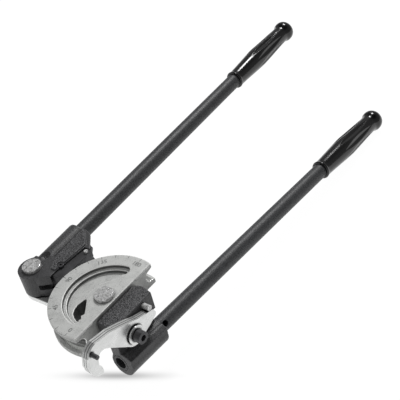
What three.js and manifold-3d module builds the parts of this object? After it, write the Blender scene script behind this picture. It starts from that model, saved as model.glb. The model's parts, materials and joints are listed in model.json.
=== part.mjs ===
// A lever tube bender in the 90 degree position.
// Lengths are millimetres and +Z is up, along the pins. The origin is the centre of the centre pin's
// flat head, X runs along the die's flat towards the grips and Y from the die towards the clevis pin.

import * as THREE from 'three';
import { mergeVertices } from 'three/addons/utils/BufferGeometryUtils.js';
import Module from 'manifold-3d';

const wasm = await Module();
wasm.setup();

// Clearances and tessellation
const seatGap = 0.3;
const runningGap = 0.4;
const overrun = 2;
const largeRound = 80;
const mediumRound = 32;
const smallRound = 20;
const cornerSteps = 4;

// The tube that the tool bends, and the die
const tubeDiameter = 16;
const bendRadius = 66;
const grooveClearance = 0.2;
const grooveFlare = 1.4;
const dieRadius = 71.4;
const dieThickness = 32;
const dieFlat = 15.3;
const dieEdge = 0.8;
const rimWidth = 19;
const pocketStepWidth = 4.4;
const pocketStepDepth = 4.5;
const pocketDepth = 9;
const hubReach = 37.6;

// Centre pin and clevis pin
const pinHeadRadius = 12.4;
const pinHeadHeight = 4.6;
const pinHeadEdge = 0.8;
const pinRadius = 8;
const pinWasherRadius = 13;
const pinWasherHeight = 2;
const clipRadius = 11.5;
const clipHeight = 1.4;
const pinEndLength = 2.5;
const bushWall = 2;
const clevisShift = -6.5;

// Link strap
const strapThickness = 8;
const strapHalfWidth = 18.5;

// Lower casting: block beside the die, web down to the socket, tongue under the strap
const blockDrop = 5;
const blockHeight = 28;
const blockDepth = 27.5;
const blockLeft = 34;
const blockRight = 34.8;
const blockNose = 3;
const webThickness = 15;
const webLeft = 36.5;
const webRight = 27;
const tongueThickness = 8;
const tongueHalfWidth = 18;
const lowerBarDrop = 49;
const lowerBarSlope = 4.4;
const lowerBarOffset = 39.1;
const socketRadius = 17;
const socketShift = 3.5;
const socketStart = 37.6;
const socketEnd = 29;
const flankReach = 20.2;

// Bars and grips
const barRadius = 11.1;
const barWall = 3.1;
const lowerReach = 575;
const upperReach = 638;
const upperBarAngle = 2.85;
const gripLength = 166;
const gripCap = 6;
const gripRingRadius = 14.2;
const gripNeckRadius = 13.1;
const gripBellyRadius = 16;
const gripWaistRadius = 13.6;
const gripEndRadius = 16.5;
const fluteCount = 8;
const fluteDepth = 0.9;
const fluteHalfWidth = 3.2;
const crossPinRadius = 3;
const barHoleRadius = 4.2;
const barHoleOffset = 9;
const barHoleTurn = 55;

// Hook and what holds it
const hookPivotX = -14.3;
const hookPivotDrop = 9.5;
const hookReach = 75.2;
const plateThickness = 3.2;
const plateGap = 0.2;
const plateCount = 3;
const boltRadius = 5;
const boltHeadRadius = 8;
const boltHeadHeight = 10;
const boltSocketRadius = 4.4;
const boltSocketDepth = 6;
const boltThread = 20;
const hookWasherRadius = 12.6;
const hookWasherThickness = 1.3;
const springWasherRadius = 12.2;
const springWasherThickness = 1.5;
const sleeveRadius = 7.2;
const stopPinRadius = 3.8;
const stopPinLength = 10.5;
const stopPinDepth = 12;
const stopPinShare = 0.43;
const fingerPinRadius = 2.9;
const fingerPinLength = 10;
const rivetRadius = 2.5;
const dieScrewRadius = 4;
const dieScrewHeadRadius = 6.5;
const dieScrewHeadHeight = 8;
const dieScrewThread = 14;

// Forming head
const headHeight = 34;
const lobeRadius = 19.5;
const ridgeStart = 6;
const ridgeEnd = 87;
const plateRise = 1.8;
const plateDown = 2.2;
const headPlateLength = 86;
const headFloor = 4;
const shoeLength = 58;
const shoeBack = 22;
const shoeClearance = 1.2;
const shoeSetback = 26.4;
const shoeStart = 3;
const shoeEdge = 1;
const slotTop = 14.8;
const slotBottom = 22.8;
const slotReach = 16.3;
const openEndReach = 14;
const scoopRadius = 9;
const valleyWidth = 15.3;
const shoeScrewRadius = 2.5;
const shoeScrewHeadRadius = 4.4;
const shoeScrewHeadHeight = 3;
const shoeScrewThread = 12;
const stopScrewRadius = 1.5;
const stopScrewHeadRadius = 2.6;

// Heights that follow from the stack of parts on the pins
const dieTop = -(pinHeadHeight + seatGap);
const dieMiddle = dieTop - dieThickness / 2;
const dieBottom = dieTop - dieThickness;
const headMiddle = dieTop - headHeight / 2;
const headBottom = dieTop - headHeight;
const strapTop = headBottom - runningGap;
const strapBottom = strapTop - strapThickness;
const tongueTop = strapBottom - runningGap;
const tongueBottom = tongueTop - tongueThickness;
const lowerBarHeight = dieMiddle - lowerBarDrop;
const clevisReach = dieRadius + shoeClearance + shoeBack + shoeSetback;
const tubeRadius = tubeDiameter / 2;
const grooveRadius = tubeRadius + grooveClearance;
const boreRadius = pinRadius + seatGap;
const bushRadius = boreRadius + bushWall - seatGap;
const pocketRadius = dieRadius - rimWidth;
const blockBack = -(dieFlat + seatGap);
const blockFront = blockBack - blockDepth;
const blockTop = dieTop - blockDrop;
const blockBottom = blockTop - blockHeight;
const hookPivotHeight = dieMiddle - hookPivotDrop;
const hookBack = blockFront - runningGap;
const hookThickness = plateCount * plateThickness + (plateCount - 1) * plateGap;
const hookFront = hookBack - hookThickness;
const springWasherBack = hookFront - seatGap;
const hookWasherBack = springWasherBack - springWasherThickness - seatGap;

const dieScrewPlaces = [
  { name: 'die_screw_left', x: -blockLeft * 0.76, z: dieMiddle - blockHeight * 0.1 },
  { name: 'die_screw_right', x: blockRight * 0.4, z: dieMiddle - blockHeight * 0.3 },
];

// Hook outline, as shares of its reach from the pivot. The seat's outer wall keeps one distance from
// the pivot, so that the hook swings clear of the tube.
const seatReach = Math.hypot(bendRadius + hookPivotX, hookPivotDrop) + tubeRadius + seatGap;
const upperEdgeShares = [
  [0.529, 0.015], [0.472, 0.107], [0.352, 0.135], [0.158, 0.2], [-0.173, 0.355], [-0.431, 0.465],
];
const clawOuterShares = [
  [-0.616, 0.497], [-0.741, 0.525], [-0.826, 0.508], [-0.902, 0.457], [-0.957, 0.371], [-1, 0.235],
  [-0.985, 0.1], [-0.945, -0.005], [-0.862, -0.089], [-0.826, -0.103], [-0.783, -0.105],
  [-0.766, -0.073], [-0.76, -0.023], [-0.769, 0.044],
];
const clawInnerShares = [[-0.742, 0.271], [-0.691, 0.295], [-0.618, 0.285], [-0.525, 0.213]];
const lowerEdgeShares = [
  [-0.129, -0.173], [-0.077, -0.205], [-0.005, -0.226], [0.201, -0.164], [0.364, -0.109], [0.511, -0.043],
];

// The stop pin rests on the upper edge of the tail.
const [tailTip, tailTop] = [upperEdgeShares[1], upperEdgeShares[2]];
const tailShare = (stopPinShare - tailTop[0]) / (tailTip[0] - tailTop[0]);
const tailHeight = tailTop[1] + (tailTip[1] - tailTop[1]) * tailShare;
const tailSlope = Math.atan2(tailTip[1] - tailTop[1], tailTip[0] - tailTop[0]);
const stopPinX = hookPivotX + stopPinShare * hookReach;
const stopPinRise = tailHeight * hookReach + (stopPinRadius + runningGap) / Math.cos(tailSlope);
const stopPinHeight = hookPivotHeight + stopPinRise;

const cast = new THREE.MeshStandardMaterial({ color: 0xb3b4b2, roughness: 0.5, metalness: 0.7 });
const black = new THREE.MeshStandardMaterial({ color: 0x3b3c3e, roughness: 0.8, metalness: 0.2 });
const paint = new THREE.MeshStandardMaterial({ color: 0x45474a, roughness: 0.75, metalness: 0.2 });
const zinc = new THREE.MeshStandardMaterial({ color: 0xd8d9d8, roughness: 0.35, metalness: 0.85 });
const steel = new THREE.MeshStandardMaterial({ color: 0xa9aaaa, roughness: 0.4, metalness: 0.9 });
const dark = new THREE.MeshStandardMaterial({ color: 0x2c2d2f, roughness: 0.5, metalness: 0.6 });
const bronze = new THREE.MeshStandardMaterial({ color: 0xa07a4a, roughness: 0.5, metalness: 0.8 });
const vinyl = new THREE.MeshStandardMaterial({ color: 0x141516, roughness: 0.25, metalness: 0 });

// A closed mesh as a solid, with its faces turned outwards.
function solid(geometry) {
  const bare = geometry.clone();
  bare.deleteAttribute('normal');
  bare.deleteAttribute('uv');
  const merged = mergeVertices(bare);
  const triVerts = new Uint32Array(merged.index.array);
  const vertProperties = new Float32Array(merged.attributes.position.array);
  const body = new wasm.Manifold(new wasm.Mesh({ numProp: 3, vertProperties, triVerts }));
  if (body.volume() > 0) return body;
  for (let i = 0; i < triVerts.length; i += 3) {
    [triVerts[i], triVerts[i + 1]] = [triVerts[i + 1], triVerts[i]];
  }
  return new wasm.Manifold(new wasm.Mesh({ numProp: 3, vertProperties, triVerts }));
}

function join(first, ...others) {
  return others.reduce((body, other) => body.add(other), first);
}

function cut(first, ...others) {
  return others.reduce((body, other) => body.subtract(other), first);
}

function piece(name, body, material) {
  const { vertProperties, triVerts } = body.getMesh();
  const geometry = new THREE.BufferGeometry();
  geometry.setAttribute('position', new THREE.BufferAttribute(vertProperties, 3));
  geometry.setIndex(new THREE.BufferAttribute(triVerts, 1));
  geometry.computeVertexNormals();
  const mesh = new THREE.Mesh(geometry, material);
  mesh.name = name;
  return mesh;
}

// Points of a circular arc, from one angle to another in degrees.
function arc(centre, radius, from, to, steps = cornerSteps) {
  return Array.from({ length: steps + 1 }, (unused, i) => {
    const angle = THREE.MathUtils.degToRad(from + ((to - from) * i) / steps);
    return [centre[0] + radius * Math.cos(angle), centre[1] + radius * Math.sin(angle)];
  });
}

// An outline in the plane of X and Y, extruded between two heights.
function prism(points, bottom, top, edge = 0) {
  const shape = new THREE.Shape(points.map(([x, y]) => new THREE.Vector2(x, y)));
  const geometry = new THREE.ExtrudeGeometry(shape, {
    depth: top - bottom - 2 * edge,
    bevelEnabled: edge > 0,
    bevelThickness: edge,
    bevelSize: edge,
    bevelOffset: -edge,
    bevelSegments: 1,
  });
  return geometry.translate(0, 0, bottom + edge);
}

// An outline in the plane of X and Z, extruded from a front to a back value of Y.
function prismAlongY(points, front, back, edge = 0) {
  return prism(points, -back, -front, edge).rotateX(Math.PI / 2);
}

// An outline in the plane of Y and Z, extruded between two values of X.
function prismAlongX(points, start, end, edge = 0) {
  const turn = new THREE.Matrix4().set(0, 0, 1, 0, 1, 0, 0, 0, 0, 1, 0, 0, 0, 0, 0, 1);
  return prism(points, start, end, edge).applyMatrix4(turn);
}

// A body of revolution about Z, from a closed profile of radius and height.
function turned(profile, x = 0, y = 0, steps = mediumRound) {
  const points = [...profile, profile[0]].map(([r, z]) => new THREE.Vector2(r, z));
  return solid(new THREE.LatheGeometry(points, steps).rotateX(Math.PI / 2).translate(x, y, 0));
}

function rodAlongZ(radius, bottom, top, x = 0, y = 0, steps = smallRound) {
  const rod = new THREE.CylinderGeometry(radius, radius, top - bottom, steps).rotateX(Math.PI / 2);
  return solid(rod.translate(x, y, (top + bottom) / 2));
}

function rodAlongY(radius, front, back, x, z, steps = smallRound) {
  const rod = new THREE.CylinderGeometry(radius, radius, back - front, steps);
  return solid(rod.translate(x, (front + back) / 2, z));
}

function rodAlongX(radius, start, end, y = 0, z = 0, steps = mediumRound) {
  const rod = new THREE.CylinderGeometry(radius, radius, end - start, steps).rotateZ(Math.PI / 2);
  return solid(rod.translate((start + end) / 2, y, z));
}

function ring(inner, outer, bottom, top, x = 0, y = 0, steps = smallRound) {
  return turned([[inner, bottom], [outer, bottom], [outer, top], [inner, top]], x, y, steps);
}

// Die

// The pocket follows the rim, at a distance inside its top edge, and goes round the hub.
function pocketOutline(inset) {
  const endRadius = (pocketRadius - hubReach) / 2 - inset;
  const middle = (pocketRadius + hubReach) / 2;
  const hubShares = [
    [-0.9, 0.06], [-0.7, 0.2], [-0.436, 0.4], [-0.25, 0.52], [-0.1, 0.58], [0.2, 0.55],
    [0.367, 0.5], [0.535, 0.37], [0.745, 0.22], [0.867, 0.09],
  ];
  return [
    ...arc([middle, endRadius + inset], endRadius, -160, -20),
    ...arc([0, 0], pocketRadius - inset, 9, 171, 24),
    ...arc([-middle, endRadius + inset], endRadius, 200, 340),
    ...hubShares.map(([x, y]) => [x * hubReach, y * hubReach]),
  ];
}

function bendingDie() {
  const grooveTop = dieMiddle + grooveRadius;
  const grooveBottom = dieMiddle - grooveRadius;
  const groove = arc([bendRadius, dieMiddle], grooveRadius, 90, 270, 8);
  const blank = turned([
    [boreRadius, dieBottom],
    [dieRadius - dieEdge, dieBottom],
    [dieRadius, dieBottom + dieEdge],
    [dieRadius, grooveBottom - grooveFlare],
    ...groove.reverse(),
    [dieRadius, grooveTop + grooveFlare],
    [dieRadius, dieTop - dieEdge],
    [dieRadius - dieEdge, dieTop],
    [boreRadius, dieTop],
  ], 0, 0, largeRound);
  const side = dieRadius + overrun;
  const off = prism(
    [[-side, -side], [side, -side], [side, -dieFlat], [-side, -dieFlat]],
    dieBottom - overrun,
    dieTop + overrun,
  );
  const upper = prism(pocketOutline(0), dieTop - pocketStepDepth, dieTop + overrun);
  const lower = prism(pocketOutline(pocketStepWidth), dieTop - pocketDepth, dieTop);
  const windowShares = [
    [-0.96, 0.1], [-0.72, 0.24], [-0.45, 0.44], [-0.31, 0.54], [-0.26, 0.7], [-0.38, 0.725],
    [-0.57, 0.76], [-0.77, 0.72], [-0.925, 0.635], [-1.04, 0.48], [-1.117, 0.29], [-1.08, 0.14],
  ];
  const corners = windowShares.map(([x, y]) => [x * hubReach, y * hubReach]);
  const window = prism(corners, dieBottom - overrun, dieTop);
  const screws = dieScrewPlaces.map(({ x, z }) => rodAlongY(
    dieScrewRadius + seatGap,
    -dieFlat - overrun,
    -dieFlat + dieScrewThread + seatGap,
    x,
    z,
  ));
  return cut(blank, solid(off), solid(upper), solid(lower), solid(window), ...screws);
}

// Lower casting

// The lower bar slopes down away from the die, so that a hand has room under the upper bar.
function onLowerBar(body) {
  return body.rotate([0, lowerBarSlope, 0]).translate([0, -lowerBarOffset, lowerBarHeight]);
}

function lowerCasting() {
  const noseY = (blockBack + blockFront) / 2;
  const block = prism([
    [-blockLeft, blockFront],
    [blockRight, blockFront],
    [blockRight + blockNose, noseY],
    [blockRight + blockNose * 0.6, noseY + blockDepth * 0.3],
    [blockRight - blockNose, blockBack],
    [-blockLeft, blockBack],
  ], blockBottom, blockTop, dieEdge);
  const webBack = blockFront + webThickness;
  const web = prism([
    [-webLeft, blockFront],
    [webRight, blockFront],
    [webRight, webBack],
    [-webLeft, webBack],
  ], lowerBarHeight, blockTop - blockHeight / 2);
  const tongue = prism([
    [-tongueHalfWidth, blockFront + webThickness / 2],
    [tongueHalfWidth, blockFront + webThickness / 2],
    ...arc([0, 0], tongueHalfWidth, 0, 180, 16),
  ], tongueBottom, tongueTop);
  const socket = rodAlongX(socketRadius, -socketStart, socketEnd, -socketShift, 0);
  const flank = solid(prismAlongX([
    [0, -barRadius],
    [-flankReach * 0.9, -socketRadius * 0.4],
    [-flankReach, 0],
    [-flankReach * 0.97, socketRadius * 0.66],
    [-flankReach * 0.68, socketRadius * 0.84],
    [-flankReach * 0.4, socketRadius * 0.93],
    [0, socketRadius],
  ], -socketStart, socketEnd));
  const bore = rodAlongX(barRadius + seatGap, -socketStart - overrun, socketEnd + overrun);
  const bolt = rodAlongY(
    boltRadius + seatGap,
    blockFront - overrun,
    blockFront + boltThread + seatGap,
    hookPivotX,
    hookPivotHeight,
  );
  const stop = rodAlongY(
    stopPinRadius + seatGap,
    blockFront - overrun,
    blockFront + stopPinDepth + seatGap,
    stopPinX,
    stopPinHeight,
  );
  const screwHoles = dieScrewPlaces.flatMap(({ x, z }) => [
    rodAlongY(dieScrewRadius + seatGap, blockFront - overrun, blockBack + overrun, x, z),
    rodAlongY(
      dieScrewHeadRadius + seatGap,
      blockFront - overrun,
      blockFront + dieScrewHeadHeight + seatGap,
      x,
      z,
    ),
  ]);
  const pinHole = rodAlongZ(boreRadius, tongueBottom - overrun, tongueTop + overrun);
  const crossHole = onLowerBar(rodAlongZ(
    crossPinRadius + seatGap,
    -socketRadius - overrun,
    barRadius + seatGap,
  ));
  const raw = join(solid(block), solid(web), solid(tongue), onLowerBar(join(socket, flank)));
  return cut(raw, onLowerBar(bore), bolt, stop, ...screwHoles, pinHole, crossHole);
}

// Pins

function headedPin(x, y, bottom) {
  return turned([
    [0, bottom],
    [pinRadius - dieEdge, bottom],
    [pinRadius, bottom + dieEdge],
    [pinRadius, -pinHeadHeight],
    [pinHeadRadius, -pinHeadHeight],
    [pinHeadRadius, -pinHeadEdge],
    [pinHeadRadius - pinHeadEdge, 0],
    [0, 0],
  ], x, y);
}

function pinStack(x, y, seat) {
  const washerTop = seat - seatGap;
  const clipTop = washerTop - pinWasherHeight - seatGap;
  const inner = pinRadius + seatGap;
  const washer = ring(inner, pinWasherRadius, washerTop - pinWasherHeight, washerTop, x, y);
  const clip = ring(inner, clipRadius, clipTop - clipHeight, clipTop, x, y);
  const pin = headedPin(x, y, clipTop - clipHeight - pinEndLength);
  return { pin, washer, clip };
}

// Hook

function hookOutline() {
  const at = ([x, z]) => [hookPivotX + x * hookReach, hookPivotHeight + z * hookReach];
  return [
    ...upperEdgeShares.map(at),
    ...clawOuterShares.map(at),
    ...arc([hookPivotX, hookPivotHeight], seatReach, 173.5, 165.5, 3),
    ...clawInnerShares.map(at),
    ...lowerEdgeShares.map(at),
  ];
}

const fingerPin = [hookPivotX - 0.864 * hookReach, hookPivotHeight + 0.411 * hookReach];
const rivetPlaces = [
  { name: 'plate_rivet_claw', x: hookPivotX - 0.56 * hookReach, z: hookPivotHeight + 0.4 * hookReach },
  { name: 'plate_rivet_tail', x: hookPivotX + 0.3 * hookReach, z: hookPivotHeight + 0.02 * hookReach },
];

function hookPlate(index) {
  const back = hookBack - index * (plateThickness + plateGap);
  const front = back - plateThickness;
  const holes = [
    [sleeveRadius + seatGap, hookPivotX, hookPivotHeight],
    [fingerPinRadius + seatGap, ...fingerPin],
    ...rivetPlaces.map(({ x, z }) => [rivetRadius + seatGap, x, z]),
  ];
  const drills = holes.map(([radius, x, z]) => rodAlongY(radius, front - overrun, back + overrun, x, z));
  return cut(solid(prismAlongY(hookOutline(), front, back)), ...drills);
}

function hookBolt() {
  const seat = hookWasherBack - hookWasherThickness - seatGap;
  const shank = rodAlongY(boltRadius, seat - overrun, blockFront + boltThread, hookPivotX, hookPivotHeight);
  const headFront = seat - boltHeadHeight;
  const head = rodAlongY(boltHeadRadius, headFront, seat, hookPivotX, hookPivotHeight, mediumRound);
  const socket = rodAlongY(
    boltSocketRadius,
    headFront - overrun,
    headFront + boltSocketDepth,
    hookPivotX,
    hookPivotHeight,
    6,
  );
  return cut(join(shank, head), socket);
}

function hookRing(inner, outer, front, back) {
  return cut(
    rodAlongY(outer, front, back, hookPivotX, hookPivotHeight, mediumRound),
    rodAlongY(inner, front - overrun, back + overrun, hookPivotX, hookPivotHeight, mediumRound),
  );
}

// Bars and grips

function bar(start, end, holes) {
  const tube = cut(
    rodAlongX(barRadius, start, end),
    rodAlongX(barRadius - barWall, start - overrun, end + overrun),
  );
  return cut(tube, ...holes);
}

// A moulded grip from its mouth ring over the belly and the waist to its domed end, along X.
function grip(end) {
  const start = end - gripLength;
  const bore = barRadius + seatGap;
  const domeShare = 0.93;
  const domeLength = (1 - domeShare) * gripLength;
  const dome = arc([0, 0], 1, 0, 90, 6).map(([across, along]) => [
    across * gripEndRadius,
    domeShare * gripLength + along * domeLength,
  ]);
  const profileShares = [
    [0, gripRingRadius], [0.036, gripRingRadius], [0.048, gripNeckRadius], [0.066, gripNeckRadius],
    [0.24, (gripNeckRadius + gripBellyRadius) / 2], [0.42, gripBellyRadius], [0.84, gripWaistRadius],
    [0.87, gripWaistRadius], [0.9, gripEndRadius],
  ];
  const outside = [...profileShares.map(([share, radius]) => [radius, share * gripLength]), ...dome];
  const inside = [[0, gripLength - gripCap], [bore, gripLength - gripCap], [bore, 0]];
  const shell = turned([...outside, ...inside], 0, 0, mediumRound);
  const flutes = Array.from({ length: fluteCount }, (unused, i) => {
    const flute = new THREE.SphereGeometry(1, 8, 8);
    flute.scale(fluteHalfWidth, fluteDepth * 2, gripLength * 0.3);
    flute.translate(0, gripBellyRadius + fluteDepth * 0.6, gripLength * 0.47);
    return solid(flute.rotateZ((2 * Math.PI * i) / fluteCount));
  });
  return cut(shell, ...flutes).rotate([0, 90, 0]).translate([start, 0, 0]);
}

// Forming head, with its own origin on the clevis pin's axis at the height of the centre pin's head

const headPlateShares = [
  [1, -0.11], [1, -0.195], [0.975, -0.28], [0.94, -0.33], [0.843, -0.418], [0.753, -0.49],
  [0.714, -0.515], [0.7, -0.43], [0.12, -0.38],
];
const raisedPlateShares = [[0.985, -0.13], [0.96, -0.19], [0.74, -0.415], [0.12, -0.37]];
const floorEndShares = [[1, -0.19], [0.907, -0.264], [0.848, -0.343], [0.81, -0.43], [0.5, -0.43]];
const headWallShares = [[0, -0.385], [-0.107, -0.245]];
const shoeFront = -shoeSetback - shoeBack;
const shoeTop = dieTop - plateDown - seatGap;
const shoeBottom = headBottom + headFloor + seatGap;
const shoeInner = -shoeSetback;
const shoeScrewPlace = [headPlateLength * 0.242, shoeInner - shoeBack * 0.22];
const shoeStopPlace = [shoeStart + shoeLength * 0.9, shoeFront + shoeBack * 0.2];
const shoeScrews = [
  {
    name: 'shoe_screw',
    place: shoeScrewPlace,
    depth: shoeScrewThread,
    shank: shoeScrewRadius,
    head: shoeScrewHeadRadius,
    material: dark,
  },
  {
    name: 'shoe_stop_screw',
    place: shoeStopPlace,
    depth: shoeScrewHeadHeight * 2,
    shank: stopScrewRadius,
    head: stopScrewHeadRadius,
    material: steel,
  },
];

function alongUpperBar(body) {
  return body.rotate([0, 0, upperBarAngle]).translate([0, 0, headMiddle]);
}

function upperHead() {
  const at = ([x, y]) => [x * headPlateLength, y * headPlateLength];
  const lobe = rodAlongZ(lobeRadius, headBottom, dieTop, 0, 0, mediumRound);
  const ridge = alongUpperBar(rodAlongX(headHeight / 2, ridgeStart, ridgeEnd));
  const body = solid(prism([
    [-lobeRadius, 0],
    ...[...headWallShares].reverse().map(at),
    ...[...headPlateShares].reverse().map(at),
    [headPlateLength, 0],
    [0, lobeRadius * 0.8],
  ], headBottom, dieTop));
  const raised = solid(prism([
    ...[...raisedPlateShares].reverse().map(at),
    [headPlateLength * 0.34, -headPlateLength * 0.18],
    [headPlateLength * 0.11, -headPlateLength * 0.29],
  ], dieTop - plateDown, dieTop + plateRise));
  const wide = headPlateLength * 2;
  const channel = solid(prism([
    [-seatGap, -wide],
    [wide, -wide],
    [wide, shoeInner + seatGap],
    [-seatGap, shoeInner + seatGap],
  ], shoeBottom - seatGap, shoeTop + seatGap));
  const openEnd = solid(prism([
    [shoeStart + shoeLength, -wide],
    [wide, -wide],
    [wide, -openEndReach],
    [shoeStart + shoeLength, -openEndReach],
  ], shoeBottom - seatGap, shoeTop + seatGap));
  const floorEnd = solid(prism([
    ...[...floorEndShares].reverse().map(at),
    [wide, at(floorEndShares[0])[1]],
    [wide, -wide],
    [at(floorEndShares.at(-1))[0], -wide],
  ], headBottom - overrun, shoeBottom));
  const slot = solid(prism([
    [-wide, -wide],
    [overrun, -wide],
    [overrun, -slotReach],
    [-wide, -slotReach],
  ], dieTop - slotBottom, dieTop - slotTop));
  const round = rodAlongX(headHeight / 2, 0, ridgeEnd + overrun * 2);
  const valley = alongUpperBar(cut(solid(prismAlongX([
    [-valleyWidth, headHeight * 0.2],
    [0, headHeight * 0.2],
    [0, headHeight],
    [-valleyWidth, headHeight],
  ], scoopRadius + lobeRadius, ridgeEnd + overrun)), round));
  const farSide = alongUpperBar(cut(solid(prismAlongX([
    [0, -headHeight],
    [headHeight, -headHeight],
    [headHeight, headHeight],
    [0, headHeight],
  ], lobeRadius, ridgeEnd + overrun)), round));
  const scoop = new THREE.SphereGeometry(scoopRadius, smallRound, smallRound / 2);
  scoop.translate(lobeRadius + scoopRadius * 0.5, scoopRadius * 0.2, dieTop + scoopRadius * 0.35);
  const bore = alongUpperBar(rodAlongX(barRadius + seatGap, upperBarStart - seatGap, ridgeEnd + overrun));
  const pinHole = rodAlongZ(boreRadius + bushWall, headBottom - overrun, dieTop + overrun);
  const screwHoles = shoeScrews.map(({ place, head }) => rodAlongZ(
    head + seatGap,
    shoeTop,
    dieTop + plateRise + overrun,
    ...place,
  ));
  const crossHole = alongUpperBar(rodAlongZ(
    crossPinRadius + seatGap,
    -headHeight,
    barRadius + seatGap,
    crossPinAlong,
  ));
  const whole = cut(join(lobe, ridge, body, raised), farSide, valley, solid(scoop));
  return cut(whole, channel, openEnd, floorEnd, slot, bore, pinHole, ...screwHoles, crossHole);
}

const upperBarStart = lobeRadius * 1.25;
const crossPinAlong = (upperBarStart + ridgeEnd) / 2;

function formingShoe() {
  const end = shoeStart + shoeLength;
  const block = solid(prism([
    [shoeStart, shoeFront], [end, shoeFront], [end, shoeInner], [shoeStart, shoeInner],
  ], shoeBottom, shoeTop, shoeEdge / 2));
  const tubeAxis = bendRadius - clevisReach;
  const groove = rodAlongX(grooveRadius, shoeStart - overrun, end + overrun, tubeAxis, dieMiddle);
  const holes = shoeScrews.map(({ place, depth, shank }) => rodAlongZ(
    shank + seatGap,
    shoeTop - depth - seatGap,
    shoeTop + overrun,
    ...place,
  ));
  return cut(block, groove, ...holes);
}

function shoeScrew({ place, depth, shank, head }) {
  const headBase = shoeTop + seatGap;
  const headTop = headBase + shoeScrewHeadHeight;
  const cap = rodAlongZ(head, headBase, headTop, ...place);
  const stem = rodAlongZ(shank, headBase - depth, headTop - overrun, ...place);
  const drive = rodAlongZ(
    shank * 0.7,
    headBase + shoeScrewHeadHeight / 2,
    headTop + overrun,
    ...place,
    6,
  );
  return cut(join(cap, stem), drive);
}

// Assembly

const tubeBender = new THREE.Group();

const dieGroup = new THREE.Group();
const thrustTop = dieBottom - seatGap;
const centre = pinStack(0, 0, tongueBottom);
dieGroup.add(piece('bending_die', bendingDie(), cast));
dieGroup.add(piece('lower_casting', lowerCasting(), black));
dieGroup.add(piece('centre_pin', centre.pin, steel));
dieGroup.add(piece('centre_pin_washer', centre.washer, zinc));
dieGroup.add(piece('centre_pin_clip', centre.clip, dark));
dieGroup.add(piece(
  'thrust_washer',
  ring(pinRadius + seatGap, pinWasherRadius, strapTop + seatGap, thrustTop),
  bronze,
));
for (const { name, x, z } of dieScrewPlaces) {
  const headFront = blockFront + seatGap;
  const screw = join(
    rodAlongY(dieScrewHeadRadius, headFront, headFront + dieScrewHeadHeight - seatGap, x, z),
    rodAlongY(dieScrewRadius, headFront + overrun, -dieFlat + dieScrewThread, x, z),
  );
  dieGroup.add(piece(name, screw, dark));
}
dieGroup.add(piece(
  'stop_pin',
  rodAlongY(stopPinRadius, blockFront - stopPinLength, blockFront + stopPinDepth, stopPinX, stopPinHeight),
  steel,
));
dieGroup.add(piece('hook_bolt', hookBolt(), dark));
dieGroup.add(piece(
  'hook_spring_washer',
  hookRing(
    boltRadius + seatGap,
    springWasherRadius,
    springWasherBack - springWasherThickness,
    springWasherBack,
  ),
  dark,
));
dieGroup.add(piece(
  'hook_washer',
  hookRing(boltRadius + seatGap, hookWasherRadius, hookWasherBack - hookWasherThickness, hookWasherBack),
  zinc,
));
dieGroup.add(piece(
  'hook_sleeve',
  hookRing(boltRadius + seatGap, sleeveRadius, hookFront, blockFront - seatGap),
  steel,
));
tubeBender.add(dieGroup);

const lowerBarGroup = new THREE.Group();
lowerBarGroup.position.set(0, -lowerBarOffset, lowerBarHeight);
lowerBarGroup.rotation.y = THREE.MathUtils.degToRad(lowerBarSlope);
const lowerHoles = [
  rodAlongZ(crossPinRadius + seatGap, -barRadius - overrun, barRadius + overrun),
  rodAlongZ(barHoleRadius, 0, barRadius + overrun, socketEnd + barHoleOffset).rotate([barHoleTurn, 0, 0]),
];
lowerBarGroup.add(piece('lower_bar', bar(-socketStart, lowerReach - gripCap - seatGap, lowerHoles), paint));
lowerBarGroup.add(piece(
  'lower_bar_pin',
  rodAlongZ(crossPinRadius, -socketRadius + seatGap, barRadius),
  steel,
));
lowerBarGroup.add(piece('lower_grip', grip(lowerReach), vinyl));
tubeBender.add(lowerBarGroup);

const linkGroup = new THREE.Group();
const clevis = pinStack(clevisShift, clevisReach, strapBottom);
const slant = THREE.MathUtils.radToDeg(Math.atan2(clevisReach, clevisShift));
const strapOutline = [
  ...arc([0, 0], strapHalfWidth, slant + 90, slant + 270, 20),
  ...arc([clevisShift, clevisReach], strapHalfWidth, slant - 90, slant + 90, 20),
];
const strap = cut(
  solid(prism(strapOutline, strapBottom, strapTop, dieEdge)),
  rodAlongZ(boreRadius + bushWall, strapBottom - overrun, strapTop + overrun),
  rodAlongZ(boreRadius, strapBottom - overrun, strapTop + overrun, clevisShift, clevisReach),
);
linkGroup.add(piece('link_strap', strap, zinc));
linkGroup.add(piece('link_bush', ring(boreRadius, bushRadius, strapBottom, strapTop), bronze));
linkGroup.add(piece('clevis_pin', clevis.pin, steel));
linkGroup.add(piece('clevis_washer', clevis.washer, zinc));
linkGroup.add(piece('clevis_clip', clevis.clip, dark));
tubeBender.add(linkGroup);

const headGroup = new THREE.Group();
headGroup.position.set(clevisShift, clevisReach, 0);
headGroup.add(piece('upper_head', upperHead(), black));
headGroup.add(piece('head_bush', ring(boreRadius, bushRadius, headBottom, dieTop), bronze));
headGroup.add(piece('forming_shoe', formingShoe(), dark));
for (const screw of shoeScrews) {
  headGroup.add(piece(screw.name, shoeScrew(screw), screw.material));
}
const upperBarGroup = new THREE.Group();
upperBarGroup.position.z = headMiddle;
upperBarGroup.rotation.z = THREE.MathUtils.degToRad(upperBarAngle);
const upperHole = rodAlongZ(
  crossPinRadius + seatGap,
  -barRadius - overrun,
  barRadius + overrun,
  crossPinAlong,
);
upperBarGroup.add(piece('upper_bar', bar(upperBarStart, upperReach - gripCap - seatGap, [upperHole]), paint));
upperBarGroup.add(piece(
  'upper_bar_pin',
  rodAlongZ(crossPinRadius, -headHeight / 2 + seatGap, barRadius, crossPinAlong),
  steel,
));
upperBarGroup.add(piece('upper_grip', grip(upperReach), vinyl));
headGroup.add(upperBarGroup);
tubeBender.add(headGroup);

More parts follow.
